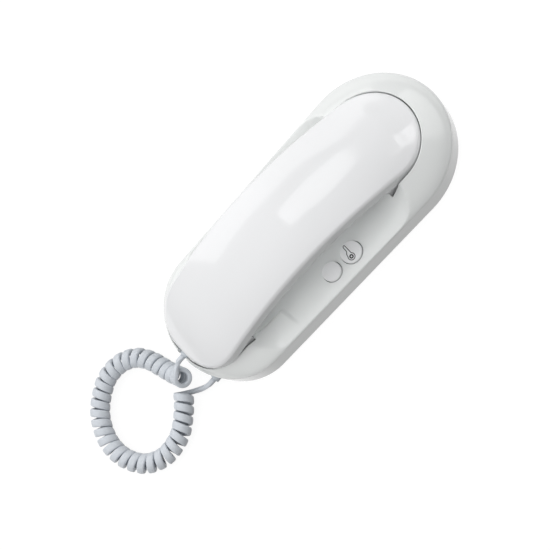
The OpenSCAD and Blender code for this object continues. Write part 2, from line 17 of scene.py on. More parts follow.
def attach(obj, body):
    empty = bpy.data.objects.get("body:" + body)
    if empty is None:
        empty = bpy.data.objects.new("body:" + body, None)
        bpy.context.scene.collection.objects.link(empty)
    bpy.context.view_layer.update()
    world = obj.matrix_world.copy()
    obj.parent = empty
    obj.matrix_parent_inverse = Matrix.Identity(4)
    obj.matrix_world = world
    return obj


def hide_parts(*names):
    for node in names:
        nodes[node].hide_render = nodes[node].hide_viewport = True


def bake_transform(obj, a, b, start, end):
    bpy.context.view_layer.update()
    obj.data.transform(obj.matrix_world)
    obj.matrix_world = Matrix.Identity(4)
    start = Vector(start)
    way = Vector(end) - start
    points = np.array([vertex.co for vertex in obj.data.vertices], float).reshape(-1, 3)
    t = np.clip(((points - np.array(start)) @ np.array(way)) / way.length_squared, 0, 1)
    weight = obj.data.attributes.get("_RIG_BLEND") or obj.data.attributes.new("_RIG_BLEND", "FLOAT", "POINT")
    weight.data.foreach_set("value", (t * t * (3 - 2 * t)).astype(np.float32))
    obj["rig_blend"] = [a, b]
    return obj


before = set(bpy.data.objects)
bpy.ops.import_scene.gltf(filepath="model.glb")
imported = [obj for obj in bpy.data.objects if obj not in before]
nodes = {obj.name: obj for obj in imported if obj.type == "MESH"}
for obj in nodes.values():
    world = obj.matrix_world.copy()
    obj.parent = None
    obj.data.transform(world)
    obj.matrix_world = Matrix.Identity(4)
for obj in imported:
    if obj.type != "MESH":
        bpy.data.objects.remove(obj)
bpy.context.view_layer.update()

MM = 0.001

# %% [markdown]
# ## Camera
# The intercom lies on its back, turned by a little over 40 degrees in the picture, and is seen from above, a
# little from the side with the buttons. A camera could be aimed by a constraint. Here its axes are worked
# out from two tilts and a roll, so that each is a value of its own. A lens of about 84 mm, 0.78 m away, gives
# the weak perspective.

# %% Camera
tilt_side, tilt_end, roll = 0.3507, 0.0722, 0.7428
distance = 0.7797
sensor, picture_px, focal_px = 36, 550, 1280
shift_px = (-39.0, -45.3)
look = Vector((math.sin(tilt_side) * math.cos(tilt_end), math.sin(tilt_end),
               math.cos(tilt_side) * math.cos(tilt_end)))
right = Vector((0, 1, 0)).cross(look).normalized()
up = look.cross(right)
across = math.cos(roll) * right + math.sin(roll) * up
upward = -math.sin(roll) * right + math.cos(roll) * up
lens = bpy.data.cameras.new("lens")
lens.sensor_width = sensor
lens.lens = sensor * focal_px / picture_px
lens.shift_x = shift_px[0] / picture_px
lens.shift_y = shift_px[1] / picture_px
lens.clip_end = 20
camera = bpy.data.objects.new("camera", lens)
bpy.context.scene.collection.objects.link(camera)
camera.matrix_world = Matrix((
    (across.x, upward.x, look.x, look.x * distance),
    (across.y, upward.y, look.y, look.y * distance),
    (across.z, upward.z, look.z, look.z * distance),
    (0, 0, 0, 1)))
bpy.context.scene.camera = camera
print("camera at", [round(v, 3) for v in camera.location])

# %% [markdown]
# ## Curly cord
# The cord is one tube: a short tail out of the base, a coil of close curls that lies in a loop on the
# table, and a short tail up into the handset. The real cord is flattened, wider along the coil than it is
# thick. A curve with a bevel would be quicker, but here the flat section has to turn with the curls, so the
# tube is laid ring by ring. The loop's points are those of the CAD solid.

# %% Axis of the coil
end_y, coil_z = 109.0, 6.6
loop_flat = [(-18.1, -18.8), (-26.6, -24.2), (-32.0, -34.0), (-32.1, -45.8), (-26.9, -56.3),
             (-19.6, -64.7), (-11.2, -69.8), (-1.7, -72.7), (8.9, -72.4), (18.5, -68.8), (25.9, -62.6),
             (30.2, -53.3), (30.2, -43.7), (27.6, -35.2), (22.4, -27.9), (17.2, -22.2), (11.6, -17.4)]
loop = [(8.6, -9, 16.5), (4.6, -10.9, 11.8), (-1, -13.4, 8.8), (-9, -16, 7.2)]
loop += [(x, y, coil_z) for x, y in loop_flat]
loop = np.array([(x, y - end_y, z) for x, y, z in loop], float)


def smooth_line(points, steps):
    """Catmull-Rom curve through the points."""
    n = len(points)
    line = []
    for i in range(n - 1):
        a, b = points[max(i - 1, 0)], points[i]
        c, d = points[i + 1], points[min(i + 2, n - 1)]
        for k in range(steps):
            u = k / steps
            line.append(b + 0.5 * u * (c - a + u * (2 * a - 5 * b + 4 * c - d + u * (3 * (b - c) + d - a))))
    return np.array(line + [points[-1]])


def lengths_along(line):
    """Distance of each place from the start of the line."""
    return np.concatenate([[0], np.cumsum(np.linalg.norm(np.diff(line, axis=0), axis=1))])


axis_line = smooth_line(loop, 8)
axis_s = lengths_along(axis_line)
axis_length = axis_s[-1]
print("coil axis", round(axis_length, 1), "mm")

# %% Curls
curls, curl_r = 33, 4.7
steps_per_curl, fine = 8, 4
step_turn = math.pi / 4


def axis_at(s):
    return np.array([np.interp(s, axis_s, axis_line[:, k]) for k in range(3)])


def unit(v):
    return v / np.linalg.norm(v)


def curl_out(s, turn):
    """Direction from the coil's axis to the cord."""
    t = unit(axis_at(min(s + 1, axis_length)) - axis_at(max(s - 1, 0)))
    n = unit(np.cross((0, 0, 1), t))
    return math.cos(turn) * n + math.sin(turn) * np.cross(t, n)


curl_steps = steps_per_curl * curls - steps_per_curl // 2
curl_path, curl_dirs = [], []
for i in range(curl_steps * fine + 1):
    s = axis_length * i / (curl_steps * fine)
    out = curl_out(s, math.pi / 2 - step_turn * i / fine)
    curl_dirs.append(out)
    curl_path.append(axis_at(s) + curl_r * out)
curl_path, curl_dirs = np.array(curl_path), np.array(curl_dirs)
print("places on the curls", len(curl_path))

# %% Tails of the cord
cord_d, tail_steps = 3.4, 20
base_exit = np.array((20, -end_y + 2.5, 6.0))
hand_exit = np.array((0, -end_y + 1.5, 19.0))
hand_pull, base_pull = np.array((0, -8, 0)), np.array((0, 14, 0))
first_pull, last_pull = 2.4, 3.4


def bridge(a, da, b, db, steps):
    """Places between a and b on a curve that leaves along da and arrives along db."""
    us = [i / steps for i in range(1, steps)]
    return np.array([(2 * u**3 - 3 * u**2 + 1) * a + (u**3 - 2 * u**2 + u) * da
                     + (3 * u**2 - 2 * u**3) * b + (u**3 - u**2) * db for u in us])


def turned(a, b, count):
    """Directions that turn from a to b."""
    return [unit(a * (1 - u) + b * u) for u in np.linspace(0, 1, count)]


straight = np.array((0, cord_d * 1.1, 0))
first_dir = curl_path[fine] - curl_path[0]
last_dir = curl_path[-1] - curl_path[-1 - fine]
hand_tail = bridge(hand_exit - straight, hand_pull, curl_path[0], first_dir * first_pull, tail_steps)
base_tail = bridge(curl_path[-1], last_dir * last_pull, base_exit - straight, base_pull, tail_steps)
hand_start = [hand_exit, hand_exit - straight / 2, hand_exit - straight]
base_end = [base_exit - straight, base_exit - straight / 2, base_exit]
cord_path = np.concatenate([hand_start, hand_tail, curl_path, base_tail, base_end])[::-1]
lead = len(hand_start) + len(hand_tail)
cord_dirs = np.concatenate([turned(np.array((1, 0, 0.3)), curl_dirs[0], lead), curl_dirs,
                            turned(curl_dirs[-1], np.array((1, 0, 0.2)), lead)])[::-1]
cord_s = lengths_along(cord_path)
print("cord length", round(cord_s[-1], 1), "mm")

# %% Rings of the cord
sides = 20
half_thick, half_wide, tail_half = 1.5, 2.4, 1.45
squareness, widen_length, first_share = 0.55, 12, 0.3


def rounded(v):
    """A sine or cosine pushed outwards, which turns an oval into a flat strap with round edges."""
    return math.copysign(abs(v) ** squareness, v)


from_tail = np.minimum(cord_s - cord_s[lead], cord_s[-lead] - cord_s)
wide = tail_half + (half_wide - tail_half) * np.clip(from_tail / widen_length + first_share, 0, 1)
tangents = np.gradient(cord_path, axis=0)
corners = []
for p, t, d, w in zip(cord_path, tangents, cord_dirs, wide):
    v = unit(np.cross(t, d))
    u = unit(np.cross(v, t))
    for k in range(sides):
        a = 2 * math.pi * k / sides
        corners.append(p + half_thick * rounded(math.cos(a)) * u + w * rounded(math.sin(a)) * v)
print("corners of the cord", len(corners))

# %% Mesh of the cord
ring_count = len(cord_path)
quads = [(r * sides + k, r * sides + (k + 1) % sides, (r + 1) * sides + (k + 1) % sides, (r + 1) * sides + k)
         for r in range(ring_count - 1) for k in range(sides)]
ends = [tuple(reversed(range(sides))), tuple((ring_count - 1) * sides + k for k in range(sides))]
cord_mesh = bpy.data.meshes.new("curly_cord_tube")
cord_mesh.from_pydata([tuple(c * MM) for c in np.array(corners)], [], quads + ends)
cord_mesh.update()
cord = bpy.data.objects.new("curly_cord_tube", cord_mesh)
bpy.context.scene.collection.objects.link(cord)
for face in cord_mesh.polygons:
    face.use_smooth = len(face.vertices) == 4
check = bmesh.new()
check.from_mesh(cord_mesh)
print("cord faces", len(cord_mesh.polygons), "volume", round(check.calc_volume(signed=True) * 1e9), "mm3")
check.free()

# %% [markdown]
# ## Cord between base and handset
# One end of the real cord stays with the base, and the other goes up with the handset. Bones could do that.
# A share kept for each corner is simpler: it grows along the cord's own length, so every curl stretches a
# little when the handset is lifted.

# %% Share that follows the handset
still_length = 12
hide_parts("curly_cord")
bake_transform(cord, "base", "handset", start=tuple(base_exit * MM), end=tuple(hand_exit * MM))
share = np.clip((cord_s - still_length) / (cord_s[-1] - 2 * still_length), 0, 1)
cord_mesh.attributes["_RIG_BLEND"].data.foreach_set("value", np.repeat(share, sides).astype(np.float32))
print("share at the base and at the handset", share[0], share[-1])

# %% [markdown]
# ## Outlines of the base and of the handset
# Both shells are long ovals: two rounded ends joined by nearly straight sides. The base's ends are half
# ellipses, the handset's ear end is half a circle and its mouth end a slightly squarer oval. A curve could
# draw them, but the same outline is needed at many insets, so it is a formula. Every ring of a shell has the
# same number of corners, so a ring can be extruded from the one before it.

# %% Outlines
ear_y, mouth_y = 62.8, -78.6
arc, side_count, least_gap = 30, 75, 0.4
ear_a = [math.radians(90 - 90 * i / arc) for i in range(arc + 1)]
mouth_a = [math.radians(-90 * i / arc) for i in range(arc + 1)]


def side_places(*lines):
    """Places along the handset's side from the ear end to the mouth end, with extra lines at the steps."""
    even = np.linspace(ear_y, mouth_y, side_count)[1:-1]
    return sorted([y for y in even if all(abs(y - e) > least_gap for e in lines)] + list(lines), reverse=True)


def squared(v, power):
    return math.copysign(abs(v) ** (2 / power), v)


def outline(ends, power, inset, places):
    """Corners of a closed outline, set in by a distance; an end is its half width, middle and length."""
    (ear_w, ear_mid, ear_length), (mouth_w, mouth_mid, mouth_length) = [
        (w - inset, mid, length - inset) for w, mid, length in ends]
    half = [(ear_w * math.cos(a), ear_mid + ear_length * math.sin(a)) for a in ear_a]
    shares = [(ear_y - y) / (ear_y - mouth_y) for y in places]
    half += [(ear_w + (mouth_w - ear_w) * u, ear_mid + (mouth_mid - ear_mid) * u) for u in shares]
    half += [(mouth_w * squared(math.cos(a), power), mouth_mid + mouth_length * squared(math.sin(a), power))
             for a in mouth_a]
    return np.array(half + [(-x, y) for x, y in half[-2:0:-1]])


def base_outline(inset, places):
    return outline(((46.4, 59.4, 49.6), (43.8, -70, 39)), 2, inset, places)


def hand_outline(inset, places):
    return outline(((29.4, ear_y, 29.4), (28.9, mouth_y, 26.7)), 2.4, inset, places)


def pocket_outline(inset, places):
    """The cradle's opening before its gap: at the mouth end it is narrower than the handset's crown."""
    return outline(((29.4, ear_y, 29.4), (26.8, mouth_y, 27.3)), 2.4, inset, places)


def block_outline(inset, places):
    """The two blocks of the handset that stand in the cradle, set back under the side band."""
    return outline(((28.5, ear_y, 28.8), (26.6, mouth_y, 26.5)), 2.4, inset, places)


print("corners in a plain ring", len(base_outline(0, side_places())))

# %% [markdown]
# ## Base cover
# The cover is one moulding: a low wall that rounds over into a rim at both ends, with a trough across the
# middle that leaves a deck for the buttons and room for fingers under the handset. It could be cut from a
# block by booleans, but its edges run into each other softly. So the trough's height is a surface of its
# own, and the cover takes the lower of the two everywhere, with a soft change between them.

# %% Heights of the cover
deck, deck_dip = 18.0, 2.4
rim_z, rim_slope = 27.6, 0.0378
shelf_y, shelf_slant, shelf_x, shelf_soft = -47.4, 0.1, 28, 3
side_x, side_widen, side_y, side_length = 43.6, 2.6, -6.25, 112.5
recess_soft, hollow_half, hollow_soft = 15, 26.2, 1.8
dip_ear_y, dip_mouth_y, trough_soft = 34, -64, 0.7
ear_ramp_y, ear_ramp_r = 36, 22
ear_top_y, ear_top_z, ear_top_slope = 57.4, 36.7, 6
mouth_ramp_y, mouth_top_y, over_rim, mouth_top_slope = -58, -80, 1.5, 1.5


def ease(v):
    u = min(1.0, max(0.0, v))
    return u * u * (3 - 2 * u)


def edge_z(y):
    """Rim of the cradle, which rises towards the ear end."""
    return rim_z + rim_slope * y


def dip(x, y):
    """Depth of the finger recess beside the grip and of the hollow under it."""
    inside = side_x + side_widen * (y - side_y) / side_length - abs(x)
    recess = ease(inside / recess_soft) * ease((y - shelf_y - shelf_slant * (abs(x) - shelf_x)) / shelf_soft)
    hollow = ease((hollow_half - abs(x)) / hollow_soft)
    ear_fade, mouth_fade = ease((y - dip_ear_y) / 20), ease((dip_mouth_y - y) / 8)
    return deck_dip * max(recess, hollow) * (1 - ear_fade) * (1 - mouth_fade)


def trough_z(x, y):
    """Height of the trough: a round ramp up to the ear end, the deck, and a soft ramp to the mouth end."""
    mouth_top_z = edge_z(mouth_top_y) + over_rim
    if y > ear_top_y:
        z = ear_top_z + (y - ear_top_y) * ear_top_slope
    elif y > ear_ramp_y:
        z = deck + ear_ramp_r - math.sqrt(ear_ramp_r**2 - (y - ear_ramp_y) ** 2)
    elif y > mouth_top_y:
        z = deck + (mouth_top_z - deck) * ease((mouth_ramp_y - y) / (mouth_ramp_y - mouth_top_y))
    else:
        z = mouth_top_z - (y - mouth_top_y) * mouth_top_slope
    return z - dip(x, y)


def lower_of(a, b, k):
    """The lower of two heights, with a soft change of about k between them."""
    h = max(k - abs(a - b), 0) / k
    return min(a, b) - h * h * k / 4


def cover_z(x, y, dome):
    return lower_of(dome, trough_z(x, y), trough_soft)


print("deck at the outer edge and in the middle", round(trough_z(38, 0), 2), round(trough_z(10, 0), 2))

# %% Rings of the wall and the dome
ear_step, mouth_step = 47.4, -69.0
hair, step_fade = 0.02, 0.5
gap, lip = 0.6, 0.7
wall_z, cone, dome_power, dome_rings = 16.4, 0.674, 0.8, 40
shelf_lines = list(np.arange(-55, -41, 0.5))
places = side_places(ear_step + hair, ear_step - hair, ear_step - step_fade, mouth_step - hair,
                     mouth_step + hair, mouth_step + step_fade, *shelf_lines)
outer, rim = base_outline(0, places), pocket_outline(-gap - lip, places)
cover_rings = [[(x, y, z) for x, y in outer] for z in (0, wall_z / 2)]
for k in range(dome_rings + 1):
    a = math.pi / 2 * k / dome_rings
    f, h = 1 - math.cos(a) ** dome_power, math.sin(a) ** dome_power
    ring = outer + (rim - outer) * f
    cover_rings.append([(x, y, cover_z(x, y, wall_z + (edge_z(y) - wall_z) * ((1 - cone) * h + cone * f)))
                        for x, y in ring])
print("rings up to the rim", len(cover_rings))

# %% Rings of the lip and the pockets
ear_floor, mouth_floor = 16.0, 13.0
lip_steps, across_steps = 5, 16
in_pocket = [y > ear_step or y < mouth_step for x, y in hand_outline(0, places)]


def floor_z(x, y):
    """Floor of a pocket at the two ends, and the trough between them."""
    if y > ear_step:
        return ear_floor
    if y < mouth_step:
        return mouth_floor
    near = min(abs(y - ear_step), abs(y - mouth_step))
    return trough_z(x, y) - max(0, step_fade - near)


for j in range(1, lip_steps + 1):
    b = math.pi / 2 * j / lip_steps
    ring = pocket_outline(-gap - lip * (1 - math.sin(b)), places)
    cover_rings.append([(x, y, cover_z(x, y, edge_z(y)) - (lip * (1 - math.cos(b)) if inside else 0))
                        for (x, y), inside in zip(ring, in_pocket)])
wall = pocket_outline(-gap, places)
cover_rings.append([(x, y, floor_z(x, y)) for x, y in wall])
spine = np.array([(0, min(ear_y, max(mouth_y, y))) for x, y in wall])
for m in range(1, across_steps + 1):
    ring = spine + (wall - spine) * (1 - m / across_steps)
    cover_rings.append([(x, y, floor_z(x, y)) for x, y in ring])
print("rings of the cover", len(cover_rings))

# %% [markdown]
# ## Skins made of rings
# A moulded shell has one unbroken skin. It is made here as by hand: a circle with as many corners as a ring
# is extruded again and again, and each new ring is moved to its place. The last ring lies on the middle line
# and is welded there. A subdivided box would need far more work to hold these edges.

# %% Skin of the cover
def ring_skin(name, rings):
    """A circle with a corner for each place of the first ring, extruded from ring to ring."""
    bpy.ops.object.select_all(action="DESELECT")
    bpy.ops.mesh.primitive_circle_add(vertices=len(rings[0]), radius=0.01)
    piece = bpy.context.object
    piece.name = piece.data.name = name
    bpy.ops.object.mode_set(mode="EDIT")
    bpy.ops.mesh.select_all(action="SELECT")
    edit = bmesh.from_edit_mesh(piece.data)
    place = {}
    for v in edit.verts:
        place[v.index] = v.index
        v.co = Vector(rings[0][v.index]) * MM
    for ring in rings[1:]:
        bpy.ops.mesh.extrude_region_move()
        edit = bmesh.from_edit_mesh(piece.data)
        edit.verts.index_update()
        for v in [v for v in edit.verts if v.select]:
            below = next(e.other_vert(v) for e in v.link_edges if not e.other_vert(v).select)
            place[v.index] = place[below.index]
            v.co = Vector(ring[place[v.index]]) * MM
    bmesh.update_edit_mesh(piece.data)
    return piece


def close_skin(piece, cap_first=False):
    """Weld the last ring along the middle, cap the first ring if asked, and point the faces outwards."""
    bpy.ops.mesh.select_all(action="SELECT")
    bpy.ops.mesh.remove_doubles(threshold=2e-6)
    if cap_first:
        bpy.ops.mesh.select_all(action="DESELECT")
        bpy.ops.mesh.select_mode(type="EDGE")
        bpy.ops.mesh.select_non_manifold(use_wire=False, use_multi_face=False, use_non_contiguous=False,
                                         use_verts=False)
        bpy.ops.mesh.edge_face_add()
    bpy.ops.mesh.select_all(action="SELECT")
    bpy.ops.mesh.normals_make_consistent(inside=False)
    bpy.ops.object.mode_set(mode="OBJECT")


def report(piece):
    print(piece.name, "faces", len(piece.data.polygons), "size mm",
          [round(v / MM, 1) for v in piece.dimensions])


cover = ring_skin("base_shell", cover_rings)
close_skin(cover, cap_first=True)
report(cover)

# %% [markdown]
# ## Hollow and holes of the cover
# The real cover is hollow from behind and has openings for the buttons, the hook, the cord and two screws in
# the pockets. Inset and extrude would make a hole in a flat face, but these cross curved ones, so upright
# tools are taken away by exact booleans.

# %% Cutting tools
def pick(piece):
    """Select one piece and make it the active one."""
    bpy.ops.object.select_all(action="DESELECT")
    piece.select_set(True)
    bpy.context.view_layer.objects.active = piece


def apply_all(piece):
    pick(piece)
    for m in list(piece.modifiers):
        bpy.ops.object.modifier_apply(modifier=m.name)


def cut(piece, tools):
    """Take the tools away from the piece, then remove them."""
    for tool in tools:
        m = piece.modifiers.new("cut", "BOOLEAN")
        m.operation, m.solver, m.object = "DIFFERENCE", "EXACT", tool
    apply_all(piece)
    for tool in tools:
        bpy.data.objects.remove(tool)


def smooth(piece, angle=32):
    pick(piece)
    bpy.ops.object.shade_smooth_by_angle(angle=math.radians(angle))


def column(name, corners, low, high):
    """A closed upright tool with the same outline at its low and its high end."""
    piece = ring_skin(name, [[(x, y, z) for x, y in corners] for z in (low, high)])
    bpy.ops.mesh.edge_face_add()
    close_skin(piece, cap_first=True)
    return piece


def round_outline(x, y, r, n=64):
    return [(x + r * math.cos(2 * math.pi * k / n), y + r * math.sin(2 * math.pi * k / n)) for k in range(n)]


def drill(name, at, r, low, high, n=64):
    """A round tool with n corners."""
    return column(name, round_outline(*at, r, n), low, high)


print("corners of a round tool", len(round_outline(0, 0, 1)))

# %% Openings of the cover
door_at, second_at, hook_at = (33.0, 7.1), (32.5, -9.1), (-14, 54)
ear_screw_at, mouth_screw_at = (0, 84), (0, -76)
plate_inset, plate_depth = 2.5, 2.5
wall_inset, hollow_low, hollow_high = 4, 2.2, 10.6
door_hole_r, second_hole_r, hook_hole_r, hook_room_r, access_r = 7.25, 6.4, 3.3, 5.0, 4.5
inside_z, above_z, hook_room_top = 8, 30, 13.2
slot_half, slot_y, slot_end, slot_low = 3.8, -103, -125, 15.2
plain = side_places()
slot = [(slot_half * math.cos(b), slot_y + slot_half * math.sin(b)) for b in np.linspace(0, math.pi, 17)]
slot += [(-slot_half, slot_end), (slot_half, slot_end)]
tools = [
    column("plate_recess", base_outline(plate_inset, plain), -1, plate_depth),
    column("low_hollow", base_outline(wall_inset, plain), hollow_low, hollow_high),
    drill("door_hole", door_at, door_hole_r, inside_z, above_z),
    drill("second_hole", second_at, second_hole_r, inside_z, above_z),
    column("cord_slot", slot, slot_low, 40),
    drill("hook_hole", hook_at, hook_hole_r, inside_z, above_z, 40),
    drill("hook_room", hook_at, hook_room_r, inside_z, hook_room_top, 40),
    drill("ear_access", ear_screw_at, access_r, inside_z, above_z, 40),
    drill("mouth_access", mouth_screw_at, access_r, inside_z, above_z, 40),
]
cut(cover, tools)
report(cover)
smooth(cover)
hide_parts("base_cover")
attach(cover, "base")

# %% [markdown]
# ## Handset shells
# The handset is an arch with an upright side band, a crown that rounds over into it, and two blocks that
# stand in the pockets of the cradle. The shells part about a millimetre above the band's lower edge. A
# subdivision surface would give a smooth crown too, but gloss shows every change of slope. So the crown is a
# formula, and its middle line runs down to the ear end in one even slope.

# %% Heights of the handset
ear_bottom, mouth_bottom = 16.3, 13.3
ear_face, mouth_face = 47.6, -69.2
arch_top, arch_y, arch_drop = 53.4, -14.2, 33.7
band, edge_r, crown_rise, crown_power, slope_length = 10.3, 1.9, 4.7, 2.2, 27.3
slope_in, slope_y, slope_z, slope, slope_growth = -14, 20, 53.3, 0.195, 0.000993
slope_out, slope_out_length = 72, 17
ear_lift, ear_soft, ear_drop, mouth_drop, mouth_soft, change_half = 0.4, 6, 0.35, 0.5, 3, 12
ear_skirt, rim_clear, least_band = 3, 0.9, 0.2
seam_share, seam_low, seam_rise, seam_out, seam_out_length = 0.6, 0.1, 1.1, -62, 12


def soft_max(a, b, k):
    """The higher of two heights, with a soft change of about k between them."""
    return (a + b + math.sqrt((a - b) ** 2 + k * k)) / 2


def arch_z(y):
    return arch_top - arch_drop * ((y - arch_y) / 100) ** 2


def shoulder_z(y):
    """Edge of the crown: the arch, running out close to the cradle's rim."""
    to_ear = soft_max(arch_z(y), edge_z(y) + ear_lift, ear_soft) - ear_drop
    to_mouth = soft_max(arch_z(y), edge_z(y) - mouth_drop, mouth_soft)
    return to_mouth + (to_ear - to_mouth) * ease((y + change_half) / (2 * change_half))


def crown_z(y, q):
    """Rise of the crown over its edge; towards the ear its middle runs out in one even slope."""
    middle_q = min(1.0, max(0.0, (y - ear_y) / slope_length))
    wanted = slope_z - slope * (y - slope_y) - slope_growth * (y * y - slope_y**2)
    lift = wanted - shoulder_z(y) - crown_rise * (1 - middle_q**crown_power)
    fade = ease((y - slope_in) / (slope_y - slope_in)) * (1 - ease((y - slope_out) / slope_out_length))
    lift *= fade * (1 - q * q) / max(0.02, 1 - middle_q**2)
    return crown_rise * (1 - q**crown_power) + lift


def band_z(y):
    """Lower edge of the side band, which is also the underside of the grip."""
    if y > ear_face:
        return max(arch_z(y) - band, ear_bottom + ear_skirt)
    if y < mouth_face:
        return min(max(arch_z(y) - band, edge_z(y) + rim_clear), shoulder_z(y) - edge_r - least_band)
    return arch_z(y) - band


def parting_z(y):
    """Seam of the two shells, which runs out at the band's edge near the mouth end."""
    room = shoulder_z(y) - edge_r - band_z(y)
    full = seam_low + seam_rise * (1 - ease((seam_out - y) / seam_out_length))
    return band_z(y) + min(seam_share * room, full)


print("crown at the middle", round(shoulder_z(arch_y) + crown_rise, 1))

# %% Front shell
seam, crown_half, front_wall = 0.02, 28.5, 2.0
hand_places = side_places(ear_face + hair, ear_face - hair, mouth_face - hair, mouth_face + hair)
plan = hand_outline(0, hand_places)
hand_spine = np.array([(0, min(ear_y, max(mouth_y, y))) for x, y in plan])
front_rings = []
for u in (0, 0.33, 0.67):
    front_rings.append([(x, y, parting_z(y) + seam + u * (shoulder_z(y) - edge_r - parting_z(y) - seam))
                        for x, y in plan])
insets = [(edge_r * (1 - math.cos(b)), edge_r * (math.sin(b) - 1)) for b in np.linspace(0, math.pi / 2, 9)]
insets += [(edge_r + (crown_half - edge_r) * u, 0) for u in np.linspace(0, 1, 19)[1:]]
for inset, drop in insets:
    q = 1 - inset / crown_half
    ring = hand_spine + (plan - hand_spine) * q
    front_rings.append([(x, y, shoulder_z(y) + drop + crown_z(y, q)) for x, y in ring])
front = ring_skin("handset_front", front_rings)
close_skin(front)
thick = front.modifiers.new("wall", "SOLIDIFY")
thick.thickness, thick.offset, thick.use_even_offset = front_wall * MM, -1, True
apply_all(front)
report(front)
smooth(front)
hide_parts("handset_front_shell")
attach(front, "handset")

# %% [markdown]
# ## Back shell of the handset
# Under the band the shell steps in to the two blocks, and between them it closes the grip from below. The
# blocks could be pieces of their own, but on the real one they are moulded in, so the same rings go down
# into the blocks at both ends and stay at the grip's underside between them.

# %% Rings of the back shell
block_r, low_r, under_steps = 2.2, 0.35, 10
block = block_outline(0, hand_places)
low_block = block_outline(block_r, hand_places)
in_block = [y > ear_face or y < mouth_face for x, y in plan]
bottom = [ear_bottom if y > ear_face else mouth_bottom for x, y in plan]
back_rings = [[(x, y, parting_z(y) - seam) for x, y in plan]]
for b in np.linspace(0, math.pi / 2, 5):
    s = low_r * (1 - math.cos(b)) / 2
    ring = []
    for (x, y), (xb, yb) in zip(plan, block):
        room = min(low_r, 0.8 * (parting_z(y) - band_z(y)))
        ring.append((x + (xb - x) * s, y + (yb - y) * s, band_z(y) + room * (1 - math.sin(b))))
    back_rings.append(ring)
for s, drop in ((0.9, 0.0), (1.0, 0.12)):
    back_rings.append([(x + (xb - x) * s, y + (yb - y) * s, band_z(y) - (drop if inside else 0))
                       for (x, y), (xb, yb), inside in zip(plan, block, in_block)])
for b in np.linspace(0, math.pi / 2, 6):
    s = 1 - math.cos(b)
    back_rings.append([(xb + (xl - xb) * s, yb + (yl - yb) * s,
                        base + block_r * (1 - math.sin(b)) if inside else band_z(y) + 0.2 * s)
                       for (x, y), (xb, yb), (xl, yl), inside, base
                       in zip(plan, block, low_block, in_block, bottom)])
last = np.array([(x, y) for x, y, z in back_rings[-1]])
under_z = [z for x, y, z in back_rings[-1]]
for m in range(1, under_steps + 1):
    ring = hand_spine + (last - hand_spine) * (1 - m / under_steps)
    back_rings.append([(x, y, z) for (x, y), z in zip(ring, under_z)])
print("rings of the back shell", len(back_rings))

# %% Back shell
back_wall = 1.6
ear_at, ear_ring_r, ear_hole_r = (0, 72.4), 7, 1.4
microphone_y, mouth_hole_step, mouth_hole_r = -88, 2.6, 0.8
screw_hole_r, screw_places = 3.0, ((53, ear_bottom + block_r), (-75, mouth_bottom + block_r))
back = ring_skin("handset_back", back_rings)
close_skin(back)
thick = back.modifiers.new("wall", "SOLIDIFY")
thick.thickness, thick.offset, thick.use_even_offset = back_wall * MM, -1, False
apply_all(back)
ear_holes = [ear_at] + round_outline(*ear_at, ear_ring_r, 6)
mouth_holes = [(mouth_hole_step * i, microphone_y) for i in (-1, 0, 1)]
tools = [drill("ear_hole", at, ear_hole_r, 12, 19, 24) for at in ear_holes]
tools += [drill("mouth_hole", at, mouth_hole_r, 10, 17, 24) for at in mouth_holes]
tools += [drill("screw_hole", (0, y), screw_hole_r, 8, z, 32) for y, z in screw_places]
cut(back, tools)
report(back)
smooth(back)
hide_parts("handset_back_shell")
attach(back, "handset")

# %% [markdown]
# ## Buttons
# Each button is a round cap with a soft edge and a slightly domed face. A bevelled cylinder would come
# close. Rings along a profile give the dome as well, and the sign on the door button can follow the same
# formula.

# %% Button caps
door_r, second_r = 6.83, 6.02
cap_edge, cap_low, cap_proud, cap_dome = 0.9, 11.4, 0.75, 0.5


def cap_z(d, r):
    """Height of a cap's face at a distance from its middle."""
    return deck + cap_proud + cap_dome * (1 - (d / r) ** 2)


def button_cap(name, at, r):
    flat_r = r - cap_edge
    edge_low = cap_z(flat_r, r) - cap_edge
    profile = [(r, cap_low), (r, edge_low)]
    profile += [(flat_r + cap_edge * math.cos(b), edge_low + cap_edge * math.sin(b))
                for b in (math.pi / 2 * j / 6 for j in range(1, 7))]
    profile += [(d, cap_z(d, r)) for d in np.linspace(flat_r, 0, 9)[1:]]
    cap = ring_skin(name, [[(x, y, z) for x, y in round_outline(*at, d)] for d, z in profile])
    close_skin(cap, cap_first=True)
    smooth(cap)
    report(cap)
    return cap


door_cap = button_cap("door_cap", door_at, door_r)
second_cap = button_cap("second_cap", second_at, second_r)
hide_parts("door_button")
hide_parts("second_button")
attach(door_cap, "door_button")
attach(second_cap, "second_button")

# %% [markdown]
# ## Key sign
# The door button carries a plain key sign, a thin dark line printed on its face. A drawn texture could show
# it. Two closed ribbons just proud of the face stay sharp from any distance and go down with the button.

# %% Key sign on the door button
sink, proud = -0.15, 0.02
sign_half, eye_half = 0.24, 0.42


def chaikin(line):
    """Cut the corners of a closed line once."""
    return [q for a, b in zip(line, line[1:] + line[:1])
            for q in ((0.75 * a[0] + 0.25 * b[0], 0.75 * a[1] + 0.25 * b[1]),
                      (0.25 * a[0] + 0.75 * b[0], 0.25 * a[1] + 0.75 * b[1]))]


def printed_line(name, line, half):
    """A flat print along a closed line on the door button: its two edges, just proud of the cap's face."""
    line = np.array(line)
    way = np.roll(line, -1, axis=0) - np.roll(line, 1, axis=0)
    side = np.stack([way[:, 1], -way[:, 0]], axis=1) / np.linalg.norm(way, axis=1)[:, None]
    rings = []
    for s, lift in ((half, sink), (half, proud), (-half, proud), (-half, sink), (half, sink)):
        edge = line + side * s
        rings.append([(door_at[0] + x, door_at[1] + y, cap_z(math.hypot(x, y), door_r) + lift)
                      for x, y in edge])
    piece = ring_skin(name, rings)
    close_skin(piece)
    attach(piece, "door_button")
    report(piece)
    return piece


